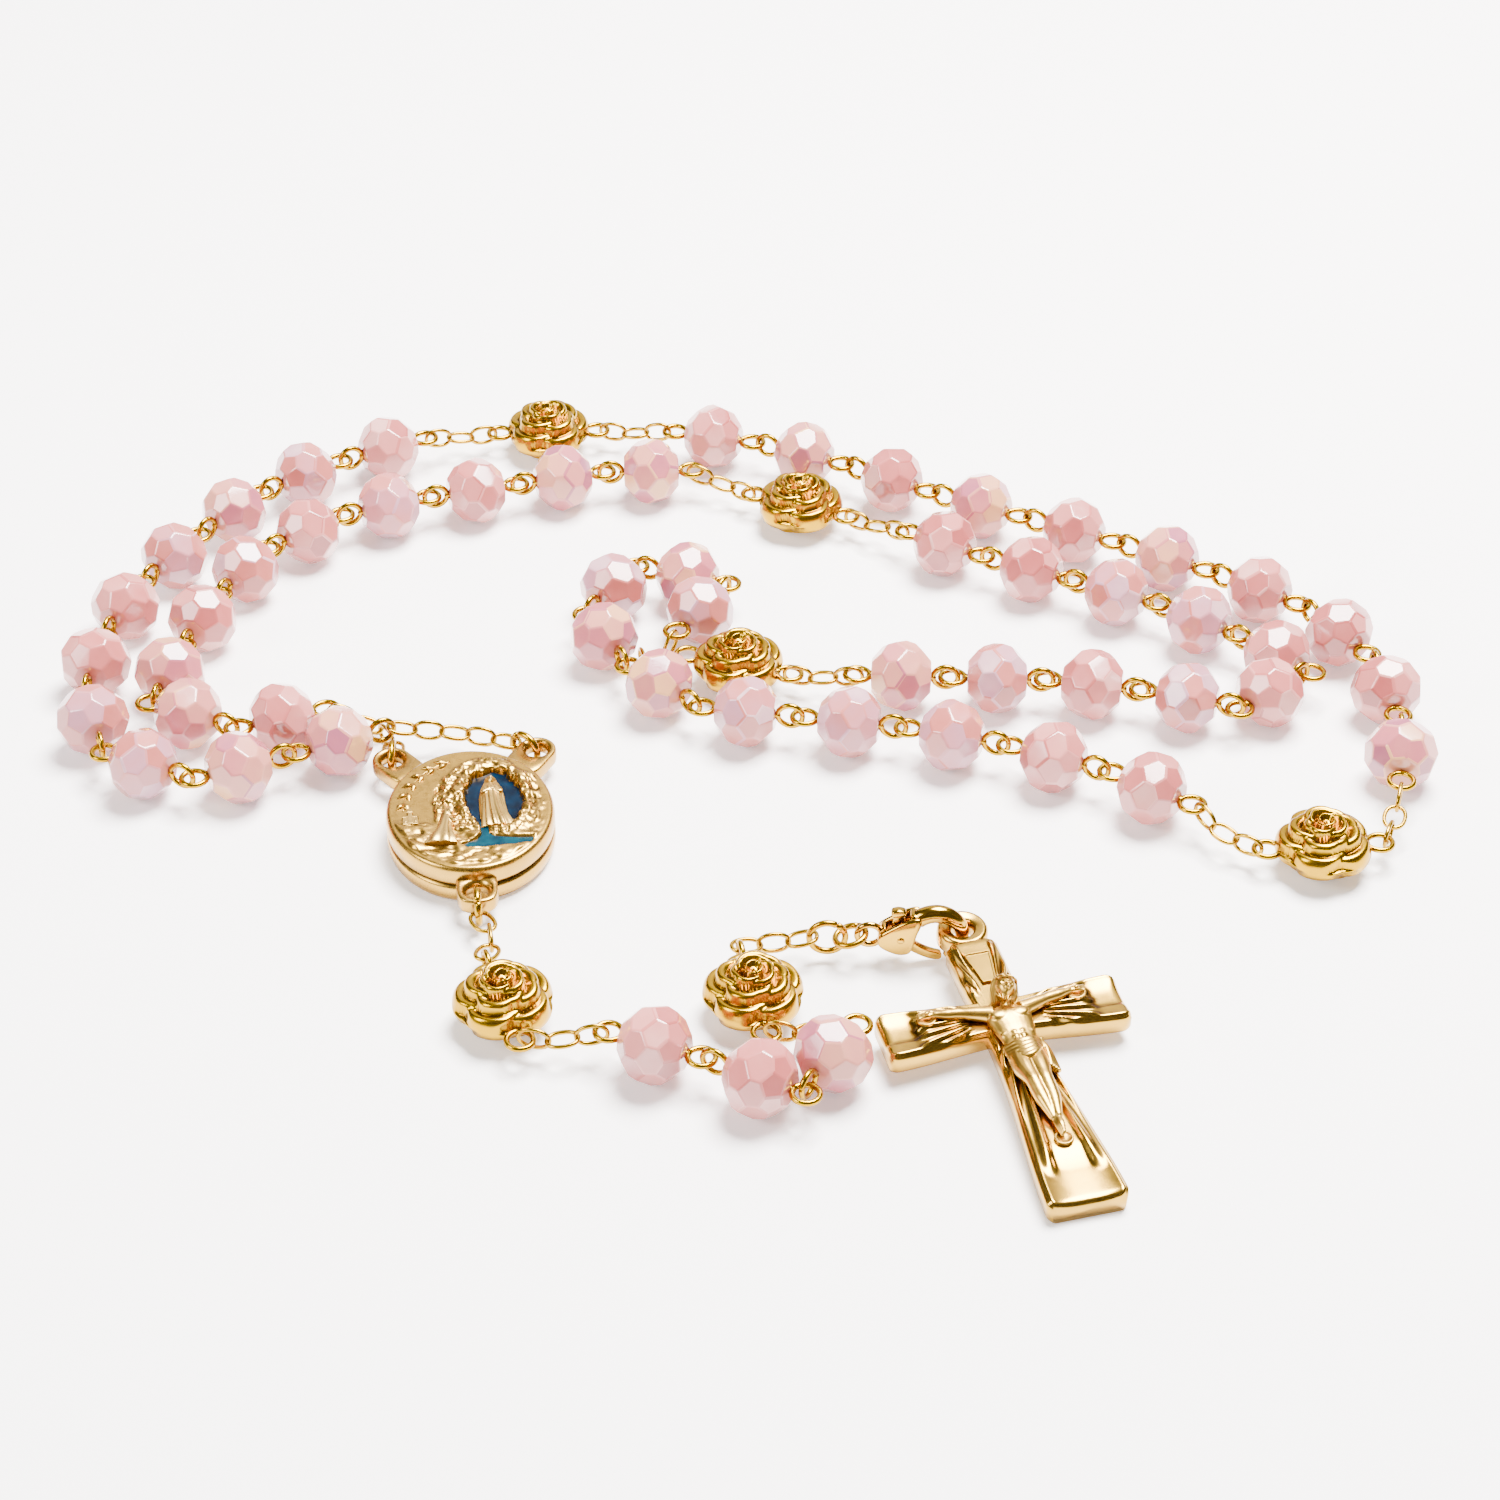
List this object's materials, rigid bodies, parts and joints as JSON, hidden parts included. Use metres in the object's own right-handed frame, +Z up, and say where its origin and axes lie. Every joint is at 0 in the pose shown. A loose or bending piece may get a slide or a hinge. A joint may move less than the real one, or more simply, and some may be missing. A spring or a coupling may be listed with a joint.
{
  "type": "rosary",
  "caption": "Rosary of faceted pink glass beads on gold-coloured pins and cable chain, with rose beads, an oval centre medal and a crucifix held by a lobster clasp.",
  "frame": {"origin": "centre of the bounding box's footprint, on the table the rosary lies on", "axes": "+Z up from the table; +Y away from the crucifix, towards the far loop of the chain; +X to the right of the medal"},
  "size_m": [0.153, 0.1434, 0.0079],
  "materials": {
    "glass_bead": "opaque pearly faceted glass",
    "gold": "polished gold plating",
    "pale_gold": "satin pale gold plating",
    "enamel": "glossy blue enamel"
  },
  "bodies": {
    "medal": {"medal_back": "pale_gold", "medal_front": "pale_gold", "medal_enamel": "enamel"},
    "ear_ring_a": {"ear_ring_a": "gold"},
    "chain_a1": {"chain_a1": "gold"},
    "beads_a1_2": {"beads_a1_2": "glass_bead"},
    "beads_a3_4": {"beads_a3_4": "glass_bead"},
    "beads_a5_6": {"beads_a5_6": "glass_bead"},
    "beads_a7_8": {"beads_a7_8": "glass_bead"},
    "beads_a9_10": {"beads_a9_10": "glass_bead"},
    "chain_a2": {"chain_a2": "gold"},
    "rose_1": {"rose_1": "gold"},
    "chain_e1": {"chain_e1": "gold"},
    "beads_e1_2": {"beads_e1_2": "glass_bead"},
    "beads_e3_4": {"beads_e3_4": "glass_bead"},
    "beads_e5_6": {"beads_e5_6": "glass_bead"},
    "beads_e7_8": {"beads_e7_8": "glass_bead"},
    "beads_e9_10": {"beads_e9_10": "glass_bead"},
    "chain_e2": {"chain_e2": "gold"},
    "rose_4": {"rose_4": "gold"},
    "chain_d1": {"chain_d1": "gold"},
    "beads_d1_2": {"beads_d1_2": "glass_bead"},
    "beads_d3_4": {"beads_d3_4": "glass_bead"},
    "beads_d5_6": {"beads_d5_6": "glass_bead"},
    "beads_d7_8": {"beads_d7_8": "glass_bead"},
    "beads_d9_10": {"beads_d9_10": "glass_bead"},
    "chain_d2": {"chain_d2": "gold"},
    "ear_ring_b": {"ear_ring_b": "gold"},
    "chain_b1": {"chain_b1": "gold"},
    "beads_b1_2": {"beads_b1_2": "glass_bead"},
    "beads_b3_4": {"beads_b3_4": "glass_bead"},
    "beads_b5_6": {"beads_b5_6": "glass_bead"},
    "beads_b7_8": {"beads_b7_8": "glass_bead"},
    "beads_b9_10": {"beads_b9_10": "glass_bead"},
    "chain_b2": {"chain_b2": "gold"},
    "rose_2": {"rose_2": "gold"},
    "chain_c1": {"chain_c1": "gold"},
    "beads_c1_2": {"beads_c1_2": "glass_bead"},
    "beads_c3_4": {"beads_c3_4": "glass_bead"},
    "beads_c5_6": {"beads_c5_6": "glass_bead"},
    "beads_c7_8": {"beads_c7_8": "glass_bead"},
    "beads_c9_10": {"beads_c9_10": "glass_bead"},
    "chain_c2": {"chain_c2": "gold"},
    "rose_3": {"rose_3": "gold"},
    "ear_ring_p": {"ear_ring_p": "gold"},
    "chain_p1": {"chain_p1": "gold"},
    "rose_5": {"rose_5": "gold"},
    "chain_p2": {"chain_p2": "gold"},
    "bead_p1": {"bead_p1": "glass_bead"},
    "bead_p2": {"bead_p2": "glass_bead"},
    "bead_p3": {"bead_p3": "glass_bead"},
    "chain_p3": {"chain_p3": "gold"},
    "rose_6": {"rose_6": "gold"},
    "chain_p4": {"chain_p4": "gold"},
    "big_ring": {"big_ring": "gold"},
    "mid_ring": {"mid_ring": "gold"},
    "clasp": {"clasp_body": "gold", "clasp_rivet": "gold"},
    "clasp_lever": {"clasp_lever": "gold"},
    "crucifix": {"crucifix": "pale_gold"}
  },
  "joints": [
    {"name": "pitch_ear_ring_a", "type": "hinge", "parent": "medal", "child": "ear_ring_a", "pos_m": [-0.02323, 0.0003, 0.00248], "axis": [-0.6193, -0.7852, 0], "range_deg": [-24, 6]},
    {"name": "pitch_chain_a1", "type": "hinge", "parent": "ear_ring_a", "child": "chain_a1", "pos_m": [-0.02399, 0.0009, 0.00247], "axis": [0.6193, 0.7852, 0], "range_deg": [-30, 30]},
    {"name": "pitch_beads_a1_2", "type": "hinge", "parent": "chain_a1", "child": "beads_a1_2", "pos_m": [-0.03838, 0.00193, 0.00395], "axis": [0.4158, -0.9095, 0], "range_deg": [-30, 30]},
    {"name": "pitch_beads_a3_4", "type": "hinge", "parent": "beads_a1_2", "child": "beads_a3_4", "pos_m": [-0.05982, -0.00661, 0.00395], "axis": [0.4173, 0.9088, 0], "range_deg": [-30, 30]},
    {"name": "pitch_beads_a5_6", "type": "hinge", "parent": "beads_a3_4", "child": "beads_a5_6", "pos_m": [-0.07273, 0.00972, 0.00395], "axis": [-0.9993, 0.0364, 0], "range_deg": [-30, 30]},
    {"name": "pitch_beads_a7_8", "type": "hinge", "parent": "beads_a5_6", "child": "beads_a7_8", "pos_m": [-0.06885, 0.0321, 0.00395], "axis": [0.8889, -0.4581, 0], "range_deg": [-30, 30]},
    {"name": "pitch_beads_a9_10", "type": "hinge", "parent": "beads_a7_8", "child": "beads_a9_10", "pos_m": [-0.05685, 0.05148, 0.00395], "axis": [-0.6242, 0.7812, 0], "range_deg": [-30, 30]},
    {"name": "pitch_chain_a2", "type": "hinge", "parent": "beads_a9_10", "child": "chain_a2", "pos_m": [-0.03767, 0.06373, 0.00364], "axis": [0.4059, -0.9139, 0], "range_deg": [-30, 30]},
    {"name": "pitch_rose_1", "type": "hinge", "parent": "chain_a2", "child": "rose_1", "pos_m": [-0.0312, 0.06607, 0.00278], "axis": [-0.2638, 0.9646, 0], "range_deg": [-30, 30]},
    {"name": "pitch_chain_e1", "type": "hinge", "parent": "rose_1", "child": "chain_e1", "pos_m": [-0.01635, 0.06684, 0.00278], "axis": [-0.2007, -0.9797, 0], "range_deg": [-30, 30]},
    {"name": "pitch_beads_e1_2", "type": "hinge", "parent": "chain_e1", "child": "beads_e1_2", "pos_m": [-0.00914, 0.06511, 0.00377], "axis": [0.2458, 0.9693, 0], "range_deg": [-30, 30]},
    {"name": "pitch_beads_e3_4", "type": "hinge", "parent": "beads_e1_2", "child": "beads_e3_4", "pos_m": [0.01392, 0.05659, 0.00395], "axis": [-0.5278, -0.8494, 0], "range_deg": [-30, 30]},
    {"name": "pitch_beads_e5_6", "type": "hinge", "parent": "beads_e3_4", "child": "beads_e5_6", "pos_m": [0.03504, 0.04469, 0.00395], "axis": [0.4595, 0.8882, 0], "range_deg": [-30, 30]},
    {"name": "pitch_beads_e7_8", "type": "hinge", "parent": "beads_e5_6", "child": "beads_e7_8", "pos_m": [0.0562, 0.03284, 0.00395], "axis": [-0.5911, -0.8066, 0], "range_deg": [-30, 30]},
    {"name": "pitch_beads_e9_10", "type": "hinge", "parent": "beads_e7_8", "child": "beads_e9_10", "pos_m": [0.072, 0.0151, 0.00395], "axis": [0.9932, 0.1167, 0], "range_deg": [-30, 30]},
    {"name": "pitch_chain_e2", "type": "hinge", "parent": "beads_e9_10", "child": "chain_e2", "pos_m": [0.07152, -0.00891, 0.0038], "axis": [-0.9604, 0.2785, 0], "range_deg": [-30, 30]},
    {"name": "pitch_rose_4", "type": "hinge", "parent": "chain_e2", "child": "rose_4", "pos_m": [0.06914, -0.01593, 0.00278], "axis": [0.918, -0.3965, 0], "range_deg": [-30, 30]},
    {"name": "pitch_chain_d1", "type": "hinge", "parent": "rose_4", "child": "chain_d1", "pos_m": [0.05478, -0.01764, 0.00278], "axis": [0.5229, 0.8524, 0], "range_deg": [-30, 30]},
    {"name": "pitch_beads_d1_2", "type": "hinge", "parent": "chain_d1", "child": "beads_d1_2", "pos_m": [0.04967, -0.01279, 0.0037], "axis": [-0.8267, -0.5627, 0], "range_deg": [-30, 30]},
    {"name": "pitch_beads_d3_4", "type": "hinge", "parent": "beads_d1_2", "child": "beads_d3_4", "pos_m": [0.02869, -0.00073, 0.00395], "axis": [0.2782, 0.9605, 0], "range_deg": [-30, 30]},
    {"name": "pitch_beads_d5_6", "type": "hinge", "parent": "beads_d3_4", "child": "beads_d5_6", "pos_m": [0.00618, 0.00436, 0.00395], "axis": [-0.166, -0.9861, 0], "range_deg": [-30, 30]},
    {"name": "pitch_beads_d7_8", "type": "hinge", "parent": "beads_d5_6", "child": "beads_d7_8", "pos_m": [-0.01289, 0.01516, 0.00395], "axis": [0.896, 0.4441, 0], "range_deg": [-30, 30]},
    {"name": "pitch_beads_d9_10", "type": "hinge", "parent": "beads_d7_8", "child": "beads_d9_10", "pos_m": [-0.01057, 0.03408, 0.00395], "axis": [0.3392, 0.9407, 0], "range_deg": [-30, 30]},
    {"name": "pitch_chain_d2", "type": "hinge", "parent": "beads_d9_10", "child": "chain_d2", "pos_m": [-0.00746, 0.01997, 0.0032], "axis": [-0.8682, 0.4961, 0], "range_deg": [-30, 30]},
    {"name": "pitch_ear_ring_b", "type": "hinge", "parent": "medal", "child": "ear_ring_b", "pos_m": [-0.03775, -0.00104, 0.00215], "axis": [0.9997, 0.0238, 0], "range_deg": [-18, 18]},
    {"name": "pitch_chain_b1", "type": "hinge", "parent": "ear_ring_b", "child": "chain_b1", "pos_m": [-0.03777, -0.0001, 0.00194], "axis": [-0.9997, -0.0238, 0], "range_deg": [-25, 25]},
    {"name": "pitch_beads_b1_2", "type": "hinge", "parent": "chain_b1", "child": "beads_b1_2", "pos_m": [-0.04434, 0.00576, 0.00334], "axis": [-0.0457, 0.999, 0], "range_deg": [-30, 30]},
    {"name": "pitch_beads_b3_4", "type": "hinge", "parent": "beads_b1_2", "child": "beads_b3_4", "pos_m": [-0.06465, 0.008, 0.00395], "axis": [-0.9874, 0.1583, 0], "range_deg": [-30, 30]},
    {"name": "pitch_beads_b5_6", "type": "hinge", "parent": "beads_b3_4", "child": "beads_b5_6", "pos_m": [-0.05962, 0.02953, 0.00395], "axis": [0.9145, -0.4047, 0], "range_deg": [-30, 30]},
    {"name": "pitch_beads_b7_8", "type": "hinge", "parent": "beads_b5_6", "child": "beads_b7_8", "pos_m": [-0.0463, 0.04586, 0.00395], "axis": [-0.3856, 0.9227, 0], "range_deg": [-30, 30]},
    {"name": "pitch_beads_b9_10", "type": "hinge", "parent": "beads_b7_8", "child": "beads_b9_10", "pos_m": [-0.02569, 0.05276, 0.00395], "axis": [0.2659, -0.964, 0], "range_deg": [-30, 30]},
    {"name": "pitch_chain_b2", "type": "hinge", "parent": "beads_b9_10", "child": "chain_b2", "pos_m": [-0.00449, 0.05519, 0.00351], "axis": [0.3118, 0.9502, 0], "range_deg": [-30, 30]},
    {"name": "pitch_rose_2", "type": "hinge", "parent": "chain_b2", "child": "rose_2", "pos_m": [0.00079, 0.05267, 0.00277], "axis": [-0.4787, -0.878, 0], "range_deg": [-30, 30]},
    {"name": "pitch_chain_c1", "type": "hinge", "parent": "rose_2", "child": "chain_c1", "pos_m": [0.01425, 0.04632, 0.00277], "axis": [0.5462, 0.8376, 0], "range_deg": [-30, 30]},
    {"name": "pitch_beads_c1_2", "type": "hinge", "parent": "chain_c1", "child": "beads_c1_2", "pos_m": [0.01933, 0.04264, 0.00361], "axis": [-0.5942, -0.8043, 0], "range_deg": [-30, 30]},
    {"name": "pitch_beads_c3_4", "type": "hinge", "parent": "beads_c1_2", "child": "beads_c3_4", "pos_m": [0.04023, 0.0309, 0.00395], "axis": [0.4505, 0.8928, 0], "range_deg": [-30, 30]},
    {"name": "pitch_beads_c5_6", "type": "hinge", "parent": "beads_c3_4", "child": "beads_c5_6", "pos_m": [0.05807, 0.01926, 0.00395], "axis": [-0.6996, -0.7145, 0], "range_deg": [-30, 30]},
    {"name": "pitch_beads_c7_8", "type": "hinge", "parent": "beads_c5_6", "child": "beads_c7_8", "pos_m": [0.0548, 0.0065, 0.00395], "axis": [-0.2918, -0.9565, 0], "range_deg": [-30, 30]},
    {"name": "pitch_beads_c9_10", "type": "hinge", "parent": "beads_c7_8", "child": "beads_c9_10", "pos_m": [0.03358, 0.01134, 0.00395], "axis": [0.046, 0.9989, 0], "range_deg": [-30, 30]},
    {"name": "pitch_chain_c2", "type": "hinge", "parent": "beads_c9_10", "child": "chain_c2", "pos_m": [0.01229, 0.01261, 0.00346], "axis": [-0.1622, -0.9868, 0], "range_deg": [-30, 30]},
    {"name": "pitch_rose_3", "type": "hinge", "parent": "chain_c2", "child": "rose_3", "pos_m": [0.00729, 0.01373, 0.00276], "axis": [0.2622, 0.965, 0], "range_deg": [-30, 30]},
    {"name": "pitch_ear_ring_p", "type": "hinge", "parent": "medal", "child": "ear_ring_p", "pos_m": [-0.02668, -0.02703, 0.00235], "axis": [0.9968, 0.0801, 0], "range_deg": [-30, 30]},
    {"name": "pitch_chain_p1", "type": "hinge", "parent": "ear_ring_p", "child": "chain_p1", "pos_m": [-0.02661, -0.02787, 0.00227], "axis": [-0.9968, -0.0801, 0], "range_deg": [-30, 30]},
    {"name": "pitch_rose_5", "type": "hinge", "parent": "chain_p1", "child": "rose_5", "pos_m": [-0.02528, -0.03645, 0.0028], "axis": [0.9471, 0.3209, 0], "range_deg": [-30, 30]},
    {"name": "pitch_chain_p2", "type": "hinge", "parent": "rose_5", "child": "chain_p2", "pos_m": [-0.01987, -0.04823, 0.00277], "axis": [-0.2194, -0.9756, 0], "range_deg": [-30, 30]},
    {"name": "pitch_bead_p1", "type": "hinge", "parent": "chain_p2", "child": "bead_p1", "pos_m": [-0.01375, -0.04854, 0.00362], "axis": [-0.0077, 1, 0], "range_deg": [-30, 30]},
    {"name": "pitch_bead_p2", "type": "hinge", "parent": "bead_p1", "child": "bead_p2", "pos_m": [-0.00198, -0.05296, 0.00395], "axis": [-0.4668, -0.8843, 0], "range_deg": [-30, 30]},
    {"name": "pitch_bead_p3", "type": "hinge", "parent": "bead_p2", "child": "bead_p3", "pos_m": [0.00707, -0.05632, 0.00395], "axis": [-0.8708, 0.4917, 0], "range_deg": [-30, 30]},
    {"name": "pitch_chain_p3", "type": "hinge", "parent": "bead_p3", "child": "chain_p3", "pos_m": [0.01073, -0.04773, 0.00367], "axis": [0.2292, 0.9734, 0], "range_deg": [-30, 30]},
    {"name": "pitch_rose_6", "type": "hinge", "parent": "chain_p3", "child": "rose_6", "pos_m": [0.00441, -0.04709, 0.00277], "axis": [-0.2291, -0.9734, 0], "range_deg": [-30, 30]},
    {"name": "pitch_chain_p4", "type": "hinge", "parent": "rose_6", "child": "chain_p4", "pos_m": [0.00054, -0.0353, 0.0028], "axis": [0.9784, 0.2066, 0], "range_deg": [-30, 30]},
    {"name": "pitch_big_ring", "type": "hinge", "parent": "chain_p4", "child": "big_ring", "pos_m": [0.00838, -0.03294, 0.0031], "axis": [-0.0041, 1, 0], "range_deg": [-30, 30]},
    {"name": "pitch_mid_ring", "type": "hinge", "parent": "big_ring", "child": "mid_ring", "pos_m": [0.01016, -0.03293, 0.0031], "axis": [0.0041, -1, 0], "range_deg": [-30, 30]},
    {"name": "pitch_clasp", "type": "hinge", "parent": "mid_ring", "child": "clasp", "pos_m": [0.01334, -0.03294, 0.00345], "axis": [0, 1, 0], "range_deg": [-15, 15]},
    {"name": "clasp_lever_press", "type": "hinge", "parent": "clasp", "child": "clasp_lever", "pos_m": [0.01683, -0.03294, 0.00365], "axis": [0, -1, 0], "range_deg": [0, 12], "stiffness_Nm_per_rad": 0.002},
    {"name": "crucifix_swivel", "type": "hinge", "parent": "clasp", "child": "crucifix", "pos_m": [0.02313, -0.03294, 0.00345], "axis": [0, 0, 1], "range_deg": [0, 60]}
  ]
}
